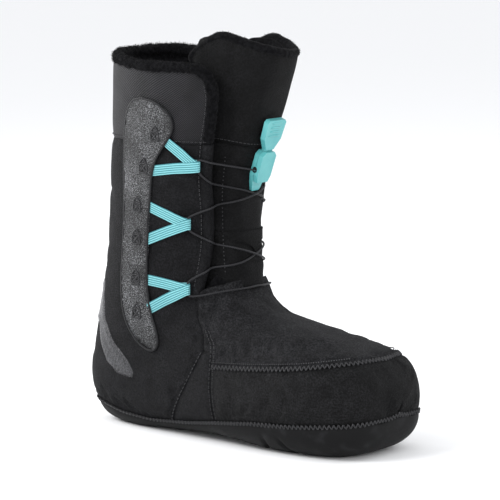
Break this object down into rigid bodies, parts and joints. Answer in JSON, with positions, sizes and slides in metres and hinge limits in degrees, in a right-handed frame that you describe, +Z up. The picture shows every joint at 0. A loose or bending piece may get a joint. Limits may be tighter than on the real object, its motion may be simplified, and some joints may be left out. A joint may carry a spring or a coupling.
{
  "type": "snowboard boot liner",
  "caption": "Padded inner boot for the right foot: foam shell, fleece collar roll, folding tongue, webbing lace loops and a sliding lace lock.",
  "frame": {"origin": "on the ground under the middle of the overall length and width", "axes": "+X to the toe, +Z up along the leg, -Y to the outer side of the right foot"},
  "size_m": [0.2649, 0.1018, 0.2921],
  "materials": {
    "knit_fabric": "matte",
    "mesh_fabric": "matte",
    "heather_fabric": "matte",
    "rand_fabric": "matte",
    "tongue_fabric": "matte",
    "fleece": "matte",
    "foam": "matte",
    "board": "matte",
    "sole_rubber": "matte",
    "heel_film": "satin",
    "stiffener": "satin",
    "webbing": "matte",
    "lock_plastic": "satin",
    "lace": "matte"
  },
  "bodies": {
    "liner": {"outsole": "sole_rubber", "sole_board": "board", "foam_shell": "foam", "lining": "fleece", "heel_counter": "stiffener", "ankle_pad_lateral": "foam", "ankle_pad_medial": "foam", "quarter_lateral": "knit_fabric", "quarter_medial": "knit_fabric", "gusset_lateral": "knit_fabric", "gusset_medial": "knit_fabric", "cuff_mesh": "mesh_fabric", "toe_rand": "rand_fabric", "vamp": "knit_fabric", "heel_overlay": "heel_film", "loop_top_lateral": "webbing", "loop_middle_lateral": "webbing", "loop_bottom_lateral": "webbing", "loop_top_medial": "webbing", "loop_middle_medial": "webbing", "loop_bottom_medial": "webbing", "lace_patch_lateral": "heather_fabric", "lace_patch_medial": "heather_fabric", "edge_binding_lateral": "knit_fabric", "edge_binding_medial": "knit_fabric", "collar_roll": "fleece", "lace": "lace"},
    "tongue": {"tongue_cover_lower": "tongue_fabric", "tongue_cover_upper": "tongue_fabric", "tongue_foam": "foam", "tongue_plate": "stiffener", "tongue_lining": "fleece", "tongue_trim": "fleece"},
    "lock": {"lock_base": "lock_plastic", "lock_cover": "lock_plastic"},
    "handle": {"pull_handle": "lock_plastic"},
    "footbed": {"footbed": "foam"}
  },
  "joints": [
    {"name": "tongue_fold", "type": "hinge", "parent": "liner", "child": "tongue", "pos_m": [-0.0025, 0, 0.116], "axis": [0, 1, 0], "range_deg": [0, 20], "stiffness_Nm_per_rad": 0.15, "springref_deg": -5.73, "deforming": ["lace"]},
    {"name": "lock_slide", "type": "slide", "parent": "tongue", "child": "lock", "axis": [0.3304, 0, 0.9438], "range_m": [0, 0.018], "deforming": ["lace"]},
    {"name": "handle_pull", "type": "slide", "parent": "lock", "child": "handle", "axis": [0.3304, 0, 0.9438], "range_m": [0, 0.008], "deforming": ["lace"]},
    {"name": "footbed_lift", "type": "hinge", "parent": "liner", "child": "footbed", "pos_m": [0.122, 0, 0.024], "axis": [0, 1, 0], "range_deg": [0, 8]}
  ]
}
